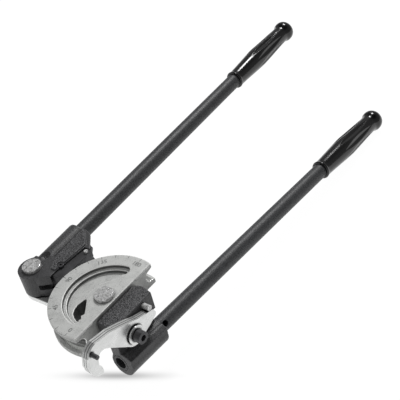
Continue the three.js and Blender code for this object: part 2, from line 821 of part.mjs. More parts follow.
const hookGroup = new THREE.Group();
['hook_plate_back', 'hook_plate_middle', 'hook_plate_front'].forEach((name, index) => {
  hookGroup.add(piece(name, hookPlate(index), zinc));
});
hookGroup.add(piece(
  'finger_pin',
  rodAlongY(fingerPinRadius, hookFront - fingerPinLength, hookBack, ...fingerPin),
  dark,
));
for (const { name, x, z } of rivetPlaces) {
  hookGroup.add(piece(name, rodAlongY(rivetRadius, hookFront, hookBack, x, z), steel));
}
tubeBender.add(hookGroup);

export default tubeBender;
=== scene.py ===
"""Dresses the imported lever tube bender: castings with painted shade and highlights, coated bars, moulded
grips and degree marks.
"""

import json
import logging
import math
from collections.abc import Callable
from dataclasses import dataclass, field
from enum import Enum
from typing import Any

import bpy
from mathutils import Euler, Matrix, Vector

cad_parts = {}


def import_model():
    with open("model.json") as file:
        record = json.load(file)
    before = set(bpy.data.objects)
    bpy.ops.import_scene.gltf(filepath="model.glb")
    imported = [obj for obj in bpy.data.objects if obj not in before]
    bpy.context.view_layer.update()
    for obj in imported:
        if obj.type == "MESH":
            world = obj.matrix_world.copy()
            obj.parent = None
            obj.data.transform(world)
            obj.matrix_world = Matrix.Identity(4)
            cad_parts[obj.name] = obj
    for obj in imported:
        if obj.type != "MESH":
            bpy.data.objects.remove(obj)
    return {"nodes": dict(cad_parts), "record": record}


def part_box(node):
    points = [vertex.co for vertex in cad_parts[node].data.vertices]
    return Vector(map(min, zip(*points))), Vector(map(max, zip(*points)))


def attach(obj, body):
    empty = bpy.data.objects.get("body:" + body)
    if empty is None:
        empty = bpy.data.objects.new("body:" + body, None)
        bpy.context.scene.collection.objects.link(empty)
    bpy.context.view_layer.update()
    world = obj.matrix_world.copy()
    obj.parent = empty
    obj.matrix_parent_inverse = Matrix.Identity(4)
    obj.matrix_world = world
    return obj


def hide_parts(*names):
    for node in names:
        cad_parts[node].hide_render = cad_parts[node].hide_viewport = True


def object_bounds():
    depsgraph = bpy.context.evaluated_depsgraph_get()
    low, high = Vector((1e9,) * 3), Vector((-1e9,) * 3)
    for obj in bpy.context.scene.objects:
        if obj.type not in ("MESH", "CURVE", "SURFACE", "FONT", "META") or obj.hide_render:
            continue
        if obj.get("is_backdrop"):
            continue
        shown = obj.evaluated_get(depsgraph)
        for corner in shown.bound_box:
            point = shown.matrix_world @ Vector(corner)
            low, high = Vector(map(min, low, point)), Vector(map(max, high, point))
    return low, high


Tree = bpy.types.NodeTree
Socket = bpy.types.NodeSocket
Thing = bpy.types.Object
Span = tuple[float, float]
Triple = tuple[float, float, float]

LOG = logging.getLogger("tube_bender")
MM = 0.001
WELD = 1e-6
FLAT_ANGLE = math.radians(0.6)
EDGE_ANGLE = math.radians(32)


class Slot(Enum):
    """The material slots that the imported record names."""

    CAST_ALUMINIUM = "cast_aluminium"
    BLACK_CASTING = "black_casting"
    BAR_PAINT = "bar_paint"
    ZINC_PLATE = "zinc_plate"
    PIN_STEEL = "pin_steel"
    BLACK_OXIDE = "black_oxide"
    BEARING_BRONZE = "bearing_bronze"
    BLACK_VINYL = "black_vinyl"


class Extra(Enum):
    """Finishes beyond the record's, each used by pieces of a slot that the record names."""

    STAMPED = "stamped"


class Body(Enum):
    """The bodies that the joints move."""

    FIXED = "fixed_handle"
    LINK = "link"
    FORMING = "forming_handle"
    HOOK = "hook"


Materials = dict[Slot | Extra, bpy.types.Material]


# Colour and shader nodes


def linear(colour: str) -> tuple[float, float, float, float]:
    """Turns an sRGB hex colour to the linear values that shaders use.

    Args:
        colour: six hex digits, such as "b4b5b4".

    Returns:
        Red, green, blue and an alpha of 1.
    """
    parts = [int(colour[i : i + 2], 16) / 255 for i in (0, 2, 4)]
    turned = [c / 12.92 if c <= 0.04045 else ((c + 0.055) / 1.055) ** 2.4 for c in parts]
    return (*turned, 1.0)


def add_node(
    tree: Tree,
    kind: str,
    inputs: dict[str | int, Any] | None = None,
    out: str | int = 0,
    stops: list[tuple[float, str]] | None = None,
    **settings: Any,
) -> Socket | None:
    """Adds a shader node with its settings and its links.

    Args:
        tree: the material's node tree.
        kind: the node's type name after "ShaderNode".
        inputs: a value, or another node's output, for each socket by name or number.
        out: the output that is wanted, by name or number.
        stops: places and hex colours of a colour ramp.
        settings: the node's own properties.

    Returns:
        The wanted output, or nothing for a node that has none.
    """
    node = tree.nodes.new(f"ShaderNode{kind}")
    for name, value in settings.items():
        setattr(node, name, value)
    for key, value in (inputs or {}).items():
        socket = node.inputs[key]
        if isinstance(value, Socket):
            tree.links.new(value, socket)
        else:
            socket.default_value = value
    if stops:
        ramp = node.color_ramp.elements
        while len(ramp) < len(stops):
            ramp.new(0.5)
        for element, (place, colour) in zip(ramp, stops):
            element.position = place
            element.color = linear(colour)
    return node.outputs[out] if node.outputs else None


def empty_tree(owner: bpy.types.Material | bpy.types.World) -> Tree:
    """Gives a material or a world an empty node tree.

    Args:
        owner: the material or world.

    Returns:
        The tree, without nodes.
    """
    owner.use_nodes = True
    owner.node_tree.nodes.clear()
    return owner.node_tree


@dataclass(frozen=True)
class Finish:
    """A surface as it was made: its metal or plastic, its grain and how its edges wear, with painted
    highlights on its edges and painted shade in its corners and gaps.

    Sizes are millimetres. A subclass adds the pattern that only its own process leaves. Patterns
    finer than about a millimetre don't show in the render, so they are drawn that coarse.
    """

    name: str
    colour: str
    shade: str
    worn: str
    metallic: float
    roughness: float
    roughness_swing: float = 0.08
    patch_mm: float = 14.0
    grain_mm: float = 1.6
    grain_depth_mm: float = 0.06
    grain_contrast: float = 0.35
    edge_mm: float = 0.5
    edge_share: float = 0.6
    edge_span: Span = (0.995, 0.9)
    crevice_mm: float = 3.0
    crevice_share: float = 0.75
    crevice_span: Span = (0.85, 0.2)
    colour_span: Span = (0.34, 0.62)
    rough_span: Span = (0.3, 0.7)
    scuff_floor: float = 0.45
    bump: float = 0.9

    def build(self) -> bpy.types.Material:
        """Builds the node tree.

        Returns:
            The finished material.
        """
        material = bpy.data.materials.new(self.name)
        tree = empty_tree(material)
        place = add_node(tree, "TexCoord", out="Object")
        grain = self.grain(tree, place)
        patches = add_node(
            tree,
            "TexNoise",
            {"Vector": place, "Scale": 1 / (self.patch_mm * MM), "Detail": 4.0, "Roughness": 0.6},
        )
        blend = add_node(tree, "Mix", {0: self.grain_contrast, 2: patches, 3: grain})
        first, last = self.colour_span
        stops = [(first, self.shade), (last, self.colour)]
        colour = add_node(tree, "ValToRGB", {"Fac": blend}, stops=stops)
        # Edges lightened towards the edge colour: partly wear, partly a painted highlight.
        high = add_node(tree, "Math", {0: grain, 1: self.scuff_floor}, operation="ADD")
        edge_marks = add_node(
            tree, "Math", {0: self.edges(tree), 1: high}, operation="MULTIPLY", use_clamp=True
        )
        painted = add_node(
            tree, "Mix", {0: edge_marks, 6: colour, 7: linear(self.worn)}, data_type="RGBA", out=2
        )
        # Painted shade: the corners and gaps are mixed towards black.
        dark = self.crevices(tree, place)
        with_painted_shade = add_node(tree, "Mix", {0: dark, 6: painted, 7: linear("000000")}, data_type="RGBA", out=2)
        rough = add_node(
            tree,
            "MapRange",
            {
                "Value": blend,
                "From Min": self.rough_span[0],
                "From Max": self.rough_span[1],
                "To Min": self.roughness + self.roughness_swing,
                "To Max": self.roughness - self.roughness_swing,
            },
        )
        bump = add_node(
            tree, "Bump", {"Strength": self.bump, "Distance": self.grain_depth_mm * MM, "Height": grain}
        )
        shader = add_node(
            tree,
            "BsdfPrincipled",
            {
                "Base Color": with_painted_shade,
                "Metallic": self.metallic,
                "Roughness": rough,
                "Normal": bump,
                **self.shader_values(tree, place, rough),
            },
        )
        add_node(tree, "OutputMaterial", {"Surface": shader})
        return material

    def shader_values(self, tree: Tree, place: Socket, rough: Socket) -> dict[str, Any]:
        """Gives the shader's inputs beyond what every finish sets.

        Args:
            tree: the material's node tree.
            place: the object's own coordinates.
            rough: the roughness so far.

        Returns:
            A value or another node's output by the name of the shader's socket.
        """
        return {}

    def grain(self, tree: Tree, place: Socket) -> Socket:
        """Gives the fine height of the surface, from 0 to 1.

        Args:
            tree: the material's node tree.
            place: the object's own coordinates.

        Returns:
            The height.
        """
        return add_node(
            tree,
            "TexNoise",
            {"Vector": place, "Scale": 1 / (self.grain_mm * MM), "Detail": 3.0, "Roughness": 0.55},
        )

    def crevices(self, tree: Tree, place: Socket) -> Socket:
        """Gives a mask of painted shade in the corners and gaps, from ambient occlusion.

        Args:
            tree: the material's node tree.
            place: the object's own coordinates.

        Returns:
            The mask, from 0 to the painted shade's share.
        """
        open_sky = add_node(
            tree, "AmbientOcclusion", {"Distance": self.crevice_mm * MM}, samples=16, out="AO"
        )
        return add_node(
            tree,
            "MapRange",
            {
                "Value": open_sky,
                "From Min": self.crevice_span[0],
                "From Max": self.crevice_span[1],
                "To Max": self.crevice_share,
            },
        )

    def edges(self, tree: Tree) -> Socket:
        """Gives a mask of the corners, lightened partly as wear from handling and partly as a painted
        highlight.

        Args:
            tree: the material's node tree.

        Returns:
            The mask, from 0 to the edges' share.
        """
        return add_node(
            tree,
            "MapRange",
            {
                "Value": self.sharpness(tree),
                "From Min": self.edge_span[0],
                "From Max": self.edge_span[1],
                "To Max": self.edge_share,
            },
        )

    def sharpness(self, tree: Tree) -> Socket:
        """Compares a rounded normal with the true one, which differ only within the edge's width.

        Args:
            tree: the material's node tree.

        Returns:
            How nearly they agree, 1 on a flat face.
        """
        rounded = add_node(tree, "Bevel", {"Radius": self.edge_mm * MM}, samples=6)
        true = add_node(tree, "NewGeometry", out="Normal")
        return add_node(tree, "VectorMath", {0: rounded, 1: true}, operation="DOT_PRODUCT", out="Value")


@dataclass(frozen=True)
class CastFinish(Finish):
    """A finish for a casting, whose dense mesh shows its own sharp corners."""

    edge_span: Span = (0.515, 0.56)

    def sharpness(self, tree: Tree) -> Socket:
        """Gives how far the mesh bulges, which is most at its corners."""
        return add_node(tree, "NewGeometry", out="Pointiness")


@dataclass(frozen=True)
class CastAluminium(CastFinish):
    """Shot-blasted aluminium casting: a matt silver skin with fine pits, and tumbled edges with a painted
    highlight.

    The tubes drawn through the groove have polished it. The pocket's steep walls carry painted shade.
    """

    pit_mm: float = 2.6
    pit_share: float = 0.3
    pit_span: Span = (0.05, 0.3)
    wall_share: float = 0.78
    wall_lift: Span = (0.85, 0.45)
    pocket_mm: float = 60.0
    flat_mm: float = -14.5
    bend_mm: float = 66.0
    groove_mm: float = -20.9
    drawn_mm: Span = (9.0, 8.4)
    drawn_metallic: float = 0.95
    drawn_roughness: float = 0.24

    def reach(self, tree: Tree, place: Socket) -> Socket:
        """Gives the distance to the die's own axis."""
        flat = add_node(tree, "VectorMath", {0: place, 1: (1.0, 1.0, 0.0)}, operation="MULTIPLY")
        return add_node(tree, "VectorMath", {0: flat}, operation="LENGTH", out="Value")

    def crevices(self, tree: Tree, place: Socket) -> Socket:
        """Adds painted shade on the pocket's steep walls to the painted shade in the corners and gaps.

        Args:
            tree: the material's node tree.
            place: the object's own coordinates.

        Returns:
            The darker of both masks.
        """
        way = add_node(tree, "TexCoord", out="Normal")
        lift = add_node(tree, "SeparateXYZ", {0: way}, out="Z")
        least, most = self.wall_lift
        steep = add_node(
            tree,
            "MapRange",
            {"Value": lift, "From Min": least, "From Max": most, "To Max": self.wall_share},
        )
        reach = self.reach(tree, place)
        inside = add_node(tree, "Math", {0: reach, 1: self.pocket_mm * MM}, operation="LESS_THAN")
        depth = add_node(tree, "SeparateXYZ", {0: place}, out="Y")
        behind = add_node(tree, "Math", {0: depth, 1: self.flat_mm * MM}, operation="GREATER_THAN")
        pocket = add_node(tree, "Math", {0: inside, 1: behind}, operation="MULTIPLY")
        walls = add_node(tree, "Math", {0: steep, 1: pocket}, operation="MULTIPLY")
        corners = super().crevices(tree, place)
        return add_node(tree, "Math", {0: walls, 1: corners}, operation="MAXIMUM")

    def shader_values(self, tree: Tree, place: Socket, rough: Socket) -> dict[str, Any]:
        """Makes the groove bright metal, by the distance to the bent tube's axis.

        Args:
            tree: the material's node tree.
            place: the object's own coordinates.
            rough: the roughness so far.

        Returns:
            The metallic and the roughness.
        """
        out = add_node(
            tree, "Math", {0: self.reach(tree, place), 1: self.bend_mm * MM}, operation="SUBTRACT"
        )
        height = add_node(tree, "SeparateXYZ", {0: place}, out="Z")
        down = add_node(tree, "Math", {0: height, 1: self.groove_mm * MM}, operation="SUBTRACT")
        across = add_node(tree, "CombineXYZ", {0: out, 1: down})
        away = add_node(tree, "VectorMath", {0: across}, operation="LENGTH", out="Value")
        edge, seat = self.drawn_mm
        drawn = add_node(tree, "MapRange", {"Value": away, "From Min": edge * MM, "From Max": seat * MM})
        metal = add_node(tree, "Mix", {0: drawn, 2: self.metallic, 3: self.drawn_metallic})
        sheen = add_node(tree, "Mix", {0: drawn, 2: rough, 3: self.drawn_roughness})
        return {"Metallic": metal, "Roughness": sheen}

    def grain(self, tree: Tree, place: Socket) -> Socket:
        """Mixes blasted grit with scattered pits, drawn coarse enough to show.

        Args:
            tree: the material's node tree.
            place: the object's own coordinates.

        Returns:
            The height, from 0 to 1.
        """
        grit = super().grain(tree, place)
        cells = add_node(tree, "TexVoronoi", {"Vector": place, "Scale": 1 / (self.pit_mm * MM)})
        low, high = self.pit_span
        pits = add_node(tree, "MapRange", {"Value": cells, "From Min": low, "From Max": high})
        return add_node(tree, "Mix", {0: self.pit_share, 2: grit, 3: pits})


@dataclass(frozen=True)
class PebbledCasting(CastFinish):
    """Sand casting under wrinkle enamel: near black, with pebbles that catch a dull light.

    Only the flat tops have the pebbles; the other faces, linished before the enamel, carry painted shade.
    """

    calm: float = 0.7
    calm_height: float = 0.36
    thin_share: float = 0.34
    pebble_share: float = 0.55
    pebble_span: Span = (0.7, 0.05)
    heights_mm: Span = (-14.0, -2.0)
    top_lift: Span = (0.85, 0.95)

    def crevices(self, tree: Tree, place: Socket) -> Socket:
        """Adds painted shade on every face but the pebbled tops to the painted shade in the corners and
        gaps.

        Args:
            tree: the material's node tree.
            place: the object's own coordinates.

        Returns:
            The darker of both masks.
        """
        side_shade = add_node(
            tree, "MapRange", {"Value": self.tops(tree, place), "To Min": self.thin_share, "To Max": 0.0}
        )
        corners = super().crevices(tree, place)
        return add_node(tree, "Math", {0: side_shade, 1: corners}, operation="MAXIMUM")

    def tops(self, tree: Tree, place: Socket) -> Socket:
        """Gives a mask of the raised plate's top and the block's top, by height and by normal.

        Args:
            tree: the material's node tree.
            place: the object's own coordinates.

        Returns:
            The mask, 1 on those tops.
        """
        height = add_node(tree, "SeparateXYZ", {0: place}, out="Z")
        low, high = self.heights_mm
        span = add_node(tree, "MapRange", {"Value": height, "From Min": low * MM, "From Max": high * MM})
        # The block's top lies in the first white band, the raised plate's in the second.
        bands = add_node(
            tree,
            "ValToRGB",
            {"Fac": span},
            stops=[(0.0, "000000"), (0.17, "ffffff"), (0.54, "000000"), (0.8, "ffffff")],
        )
        bands.node.color_ramp.interpolation = "CONSTANT"
        way = add_node(tree, "TexCoord", out="Normal")
        lift = add_node(tree, "SeparateXYZ", {0: way}, out="Z")
        least, most = self.top_lift
        up = add_node(tree, "MapRange", {"Value": lift, "From Min": least, "From Max": most})
        return add_node(tree, "Math", {0: bands, 1: up}, operation="MULTIPLY")

    def grain(self, tree: Tree, place: Socket) -> Socket:
        """Gives rounded pebbles with finer wrinkles between them.

        Args:
            tree: the material's node tree.
            place: the object's own coordinates.

        Returns:
            The height, from 0 to 1.
        """
        wrinkles = super().grain(tree, place)
        pebbles = add_node(
            tree,
            "TexVoronoi",
            {"Vector": place, "Scale": 0.8 / (self.grain_mm * MM), "Smoothness": 0.7},
            feature="SMOOTH_F1",
        )
        gap, crown = self.pebble_span
        raised = add_node(tree, "MapRange", {"Value": pebbles, "From Min": gap, "From Max": crown})
        rough = add_node(tree, "Mix", {0: self.pebble_share, 2: wrinkles, 3: raised})
        smooth_skin = add_node(tree, "Mix", {0: self.calm, 2: self.calm_height, 3: wrinkles})
        return add_node(tree, "Mix", {0: self.tops(tree, place), 2: smooth_skin, 3: rough})


@dataclass(frozen=True)
class TurnedSteel(Finish):
    """Turned and tumbled steel: rings from the tool on the faces and a soft metal glint."""

    ring_mm: float = 1.3
    ring_share: float = 0.14

    def grain(self, tree: Tree, place: Socket) -> Socket:
        """Mixes tool rings about the pin's axis with tumbling dents.

        Args:
            tree: the material's node tree.
            place: the object's own coordinates.

        Returns:
            The height, from 0 to 1.
        """
        dents = super().grain(tree, place)
        rings = add_node(
            tree,
            "TexWave",
            {"Vector": place, "Scale": 0.16 / (self.ring_mm * MM), "Distortion": 9.0, "Detail Scale": 2.0},
            wave_type="RINGS",
            rings_direction="Z",
            out="Fac",
        )
        return add_node(tree, "Mix", {0: self.ring_share, 2: dents, 3: rings})


@dataclass(frozen=True)
class ZincPlate(Finish):
    """Bright zinc on rolled steel: a pale sheen with faint streaks along the rolling direction.

    Two dark lines along its edge are painted shade in the seams between the hook's plates.
    """

    streak_mm: float = 10.0
    seams_mm: tuple[float, ...] = (-50.20, -46.80)
    seam_half_mm: float = 0.5
    seam_share: float = 0.75

    def crevices(self, tree: Tree, place: Socket) -> Socket:
        """Adds painted shade on the seams, by their places along Y, to the painted shade in the corners and
        gaps.

        Args:
            tree: the material's node tree.
            place: the object's own coordinates.

        Returns:
            The darkest of the masks.
        """
        depth = add_node(tree, "SeparateXYZ", {0: place}, out="Y")
        dark = super().crevices(tree, place)
        for seam in self.seams_mm:
            line = add_node(
                tree, "Math", {0: depth, 1: seam * MM, 2: self.seam_half_mm * MM}, operation="COMPARE"
            )
            seam_shade = add_node(tree, "Math", {0: line, 1: self.seam_share}, operation="MULTIPLY")
            dark = add_node(tree, "Math", {0: dark, 1: seam_shade}, operation="MAXIMUM")
        return dark

    def grain(self, tree: Tree, place: Socket) -> Socket:
        """Stretches the grit along the plate, as rolling leaves it."""
        drawn = add_node(
            tree, "Mapping", {"Vector": place, "Scale": (self.grain_mm / self.streak_mm, 1.0, 1.0)}
        )
        return super().grain(tree, drawn)


@dataclass(frozen=True)
class DippedVinyl(Finish):
    """Plasticised vinyl, dip moulded: deep black with a wet gloss and a faint orange peel."""

    ior: float = 1.53
    gloss: float = 0.45
    coat: float = 0.12
    coat_roughness: float = 0.1

    def shader_values(self, tree: Tree, place: Socket, rough: Socket) -> dict[str, Any]:
        """Sets the plastic's refraction and a thin clear skin."""
        return {
            "IOR": self.ior,
            "Specular IOR Level": self.gloss,
            "Coat Weight": self.coat,
            "Coat Roughness": self.coat_roughness,
        }


@dataclass(frozen=True)
class Enamel(Finish):
    """Hammered stoving enamel on tube: dark grey, with shallow dimples that break the highlight."""

    ior: float = 1.5

    def shader_values(self, tree: Tree, place: Socket, rough: Socket) -> dict[str, Any]:
        """Sets the enamel's refraction."""
        return {"IOR": self.ior}


def finishes() -> Materials:
    """Builds one material for each slot of the record, and the one for the stamped marks.

    Returns:
        The materials by slot, with the marks' own.
    """
    made = {
        # Struck aluminium marks: dull grey strokes, darker than the rim, that read on the bright rim.
        Extra.STAMPED: Finish(
            "grimy_stamped_aluminium", "8c8d8c", "6c6d6c", "a8a8a6", 0.3, 0.6,
            grain_mm=0.8, grain_depth_mm=0.05, edge_share=0.0, crevice_share=0.3,
        ),
        Slot.CAST_ALUMINIUM: CastAluminium(
            "shot_blasted_cast_aluminium", "cfd0ce", "979897", "fafaf8", 0.3, 0.58,
            grain_mm=1.2, grain_depth_mm=0.14, grain_contrast=0.6, edge_share=1.0,
            crevice_mm=6.0, crevice_share=0.7, crevice_span=(0.85, 0.35),
        ),
        Slot.BLACK_CASTING: PebbledCasting(
            "wrinkle_enamelled_casting", "707072", "19191b", "a8a8ac", 0.0, 0.42,
            grain_mm=0.95, grain_depth_mm=0.34, grain_contrast=0.85, edge_share=0.55, crevice_share=0.5,
        ),
        Slot.BAR_PAINT: Enamel(
            "hammered_enamel_tube", "4a4b4d", "262729", "6a6b6e", 0.0, 0.47,
            grain_mm=1.7, grain_depth_mm=0.26, grain_contrast=0.8, edge_mm=0.4, edge_share=0.4,
        ),
        Slot.ZINC_PLATE: ZincPlate(
            "bright_zinc_plate", "eaebea", "dcdddc", "f8f8f6", 0.75, 0.3,
            grain_mm=0.8, grain_depth_mm=0.012, edge_share=0.2,
            crevice_share=0.97, crevice_span=(0.97, 0.62),
        ),
        # Turned pin steel: the full edge share lightens the heads' rims, partly as wear and partly as a
        # painted highlight.
        Slot.PIN_STEEL: TurnedSteel(
            "turned_pin_steel", "ffffff", "7a7a78", "ffffff", 0.45, 0.26,
            grain_mm=1.5, grain_depth_mm=0.16, grain_contrast=0.3, patch_mm=3.2,
            edge_mm=0.9, edge_share=1.0,
        ),
        # Hot-blackened steel: charcoal with a soft metal glint, paler at its corners, partly as wear and
        # partly as painted highlight.
        Slot.BLACK_OXIDE: Finish(
            "black_oxide_steel", "58585a", "3a3a3c", "94949a", 0.5, 0.42,
            grain_mm=0.9, grain_depth_mm=0.03, edge_mm=0.4,
        ),
        # Sintered bronze: warm brown metal, matt from its open pores.
        Slot.BEARING_BRONZE: Finish(
            "sintered_bearing_bronze", "b08a58", "8f6c42", "d2b183", 0.9, 0.5,
            grain_mm=0.7, grain_depth_mm=0.03,
        ),
        Slot.BLACK_VINYL: DippedVinyl(
            "dipped_black_vinyl", "0c0c0d", "050506", "1c1c1d", 0.0, 0.21,
            roughness_swing=0.02, grain_mm=3.0, grain_depth_mm=0.004, edge_share=0.1,
            crevice_mm=5.0, crevice_span=(0.97, 0.72),
        ),
    }
    return {slot: finish.build() for slot, finish in made.items()}


# Working on objects as by hand


def pick(thing: Thing) -> None:
    """Selects only this object and makes it active.

    Args:
        thing: the object.
    """
    if bpy.context.object and bpy.context.object.mode != "OBJECT":
        bpy.ops.object.mode_set(mode="OBJECT")
    bpy.ops.object.select_all(action="DESELECT")
    thing.select_set(True)
    bpy.context.view_layer.objects.active = thing


def added(operator: Callable[..., Any], **settings: Any) -> Thing:
    """Adds an object by hand, with nothing else selected.

    Args:
        operator: the operator that adds it.
        settings: the operator's settings.

    Returns:
        The new object.
    """
    bpy.ops.object.select_all(action="DESELECT")
    operator(**settings)
    return bpy.context.object


def apply_modifiers(thing: Thing) -> None:
    """Applies an object's modifiers in order.

    Args:
        thing: the object, whose mesh takes them up.
    """
    pick(thing)
    for name in [modifier.name for modifier in thing.modifiers]:
        bpy.ops.object.modifier_apply(modifier=name)


def settle(thing: Thing) -> None:
    """Moves an object's place, turn and scale into its mesh."""
    pick(thing)
    bpy.ops.object.transform_apply(location=True, rotation=True, scale=True)


def smooth(thing: Thing, degrees: float = 38.0) -> None:
    """Shades an object smooth across edges that turn by less than an angle."""
    pick(thing)
    bpy.ops.object.shade_smooth_by_angle(angle=math.radians(degrees))


def cut_out(thing: Thing, tool: Thing) -> None:
    """Cuts a tool's shape out of an object and removes the tool.

    Args:
        thing: the object that is cut.
        tool: the closed shape that is cut out of it.
    """
    cutter = thing.modifiers.new("cut", "BOOLEAN")
    cutter.solver = "EXACT"
    cutter.object = tool
    apply_modifiers(thing)
    bpy.data.objects.remove(tool)


def count_faces(thing: Thing) -> int:
    """Counts the triangles of an object's mesh."""
    return sum(len(face.vertices) - 2 for face in thing.data.polygons)


@dataclass
class SubAssembly:
    """Pieces that stand for some of the CAD's nodes, on one body.

    Args:
        nodes: the frame's CAD nodes.
        materials: the finish of each slot.
    """

    nodes: dict[str, Thing]
    materials: Materials

    def copy_of(self, node: str) -> Thing:
        """Copies a CAD node, welds its loose triangles and joins the flat ones.

        Args:
            node: the CAD node's name.

        Returns:
            The copy, which doesn't ride on a body yet.
        """
        thing = bpy.data.objects.new(f"{node}_finished", self.nodes[node].data.copy())
        bpy.context.scene.collection.objects.link(thing)
        pick(thing)
        bpy.ops.mesh.customdata_custom_splitnormals_clear()
        bpy.ops.object.mode_set(mode="EDIT")
        bpy.ops.mesh.select_all(action="SELECT")
        bpy.ops.mesh.remove_doubles(threshold=WELD)
        bpy.ops.mesh.dissolve_limited(angle_limit=FLAT_ANGLE)
        bpy.ops.object.mode_set(mode="OBJECT")
        return thing

    def soften(self, thing: Thing, width_mm: float, segments: int = 2) -> None:
        """Rounds an object's edges as tumbling or handling does.

        Args:
            thing: the object.
            width_mm: how far the rounding reaches on each face.
            segments: how many facets it has.
        """
        edge = thing.modifiers.new("worn_edge", "BEVEL")
        edge.width = width_mm * MM
        edge.segments = segments
        edge.limit_method = "ANGLE"
        edge.angle_limit = EDGE_ANGLE
        apply_modifiers(thing)
        smooth(thing)
        faces = thing.modifiers.new("flat_faces", "WEIGHTED_NORMAL")
        faces.keep_sharp = True
        apply_modifiers(thing)

    def cast_skin(self, thing: Thing, grid_mm: float, wave_mm: float, depth_mm: float) -> None:
        """Gives a casting its rounded corners and slightly uneven skin.

        Args:
            thing: the casting.
            grid_mm: the spacing of its new mesh.
            wave_mm: the length of the skin's unevenness.
            depth_mm: its height.
        """
        grid = thing.modifiers.new("skin", "REMESH")
        grid.mode = "VOXEL"
        grid.voxel_size = grid_mm * MM
        grid.use_smooth_shade = True
        thing.modifiers.new("rounding", "SMOOTH")
        lumps = bpy.data.textures.new(f"{thing.name}_lumps", "CLOUDS")
        lumps.noise_scale = wave_mm * MM
        uneven = thing.modifiers.new("uneven", "DISPLACE")
        uneven.texture = lumps
        uneven.strength = depth_mm * MM
        apply_modifiers(thing)

    def dress(
        self, thing: Thing, slot: Slot, body: Body, *replaced: str, finish: Extra | None = None
    ) -> None:
        """Gives a piece its finish and its body, and reports it.

        Args:
            thing: the piece, in its place.
            slot: the record's material slot.
            body: the body it moves with.
            replaced: the CAD nodes it stands for.
            finish: a finish of its own, where the slot's doesn't fit.
        """
        thing.data.materials.clear()
        thing.data.materials.append(self.materials[finish or slot])
        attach(thing, body.value)
        if replaced:
            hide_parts(*replaced)
        LOG.info("%s: %d triangles, %s", thing.name, count_faces(thing), slot.value)

    def build(self) -> None:
        """Builds the sub-assembly's pieces."""
        raise NotImplementedError


@dataclass
class Hardware(SubAssembly):
    """Small turned and stamped parts, with their sharp edges broken."""

    parts: dict[str, tuple[Slot, Body, float]] = field(
        default_factory=lambda: {
            "stop_pin": (Slot.PIN_STEEL, Body.FIXED, 0.5),
            "hook_bolt": (Slot.BLACK_OXIDE, Body.FIXED, 0.5),
            "hook_spring_washer": (Slot.BLACK_OXIDE, Body.FIXED, 0.25),
            "hook_washer": (Slot.ZINC_PLATE, Body.FIXED, 0.3),
            "finger_pin": (Slot.BLACK_OXIDE, Body.HOOK, 0.6),
            "plate_rivet_claw": (Slot.ZINC_PLATE, Body.HOOK, 0.05),
            "plate_rivet_tail": (Slot.ZINC_PLATE, Body.HOOK, 0.05),
            "shoe_screw": (Slot.BLACK_OXIDE, Body.FORMING, 0.3),
            "shoe_stop_screw": (Slot.PIN_STEEL, Body.FORMING, 0.3),
            "centre_pin_washer": (Slot.ZINC_PLATE, Body.FIXED, 0.2),
            "clevis_washer": (Slot.ZINC_PLATE, Body.LINK, 0.2),
            "centre_pin_clip": (Slot.BLACK_OXIDE, Body.FIXED, 0.2),
            "clevis_clip": (Slot.BLACK_OXIDE, Body.LINK, 0.2),
            "lower_bar": (Slot.BAR_PAINT, Body.FIXED, 0.3),
            "upper_bar": (Slot.BAR_PAINT, Body.FORMING, 0.3),
            "link_strap": (Slot.ZINC_PLATE, Body.LINK, 0.4),
            "forming_shoe": (Slot.BLACK_OXIDE, Body.FORMING, 0.5),
        }
    )
    peened: float = 1.11

    def build(self) -> None:
        """Copies each part, breaks its edges and dresses it."""
        for name, (slot, body, edge) in self.parts.items():
            thing = self.copy_of(name)
            if name.startswith("plate_rivet"):
                self.peen(thing)
            self.soften(thing, edge)
            self.dress(thing, slot, body, name)

    def peen(self, rivet: Thing) -> None:
        """Spreads a rivet until it fills its hole, as peening does.

        Args:
            rivet: the rivet's copy.
        """
        pick(rivet)
        bpy.ops.object.origin_set(type="ORIGIN_GEOMETRY", center="BOUNDS")
        rivet.scale = (self.peened, 1.0, self.peened)
        settle(rivet)


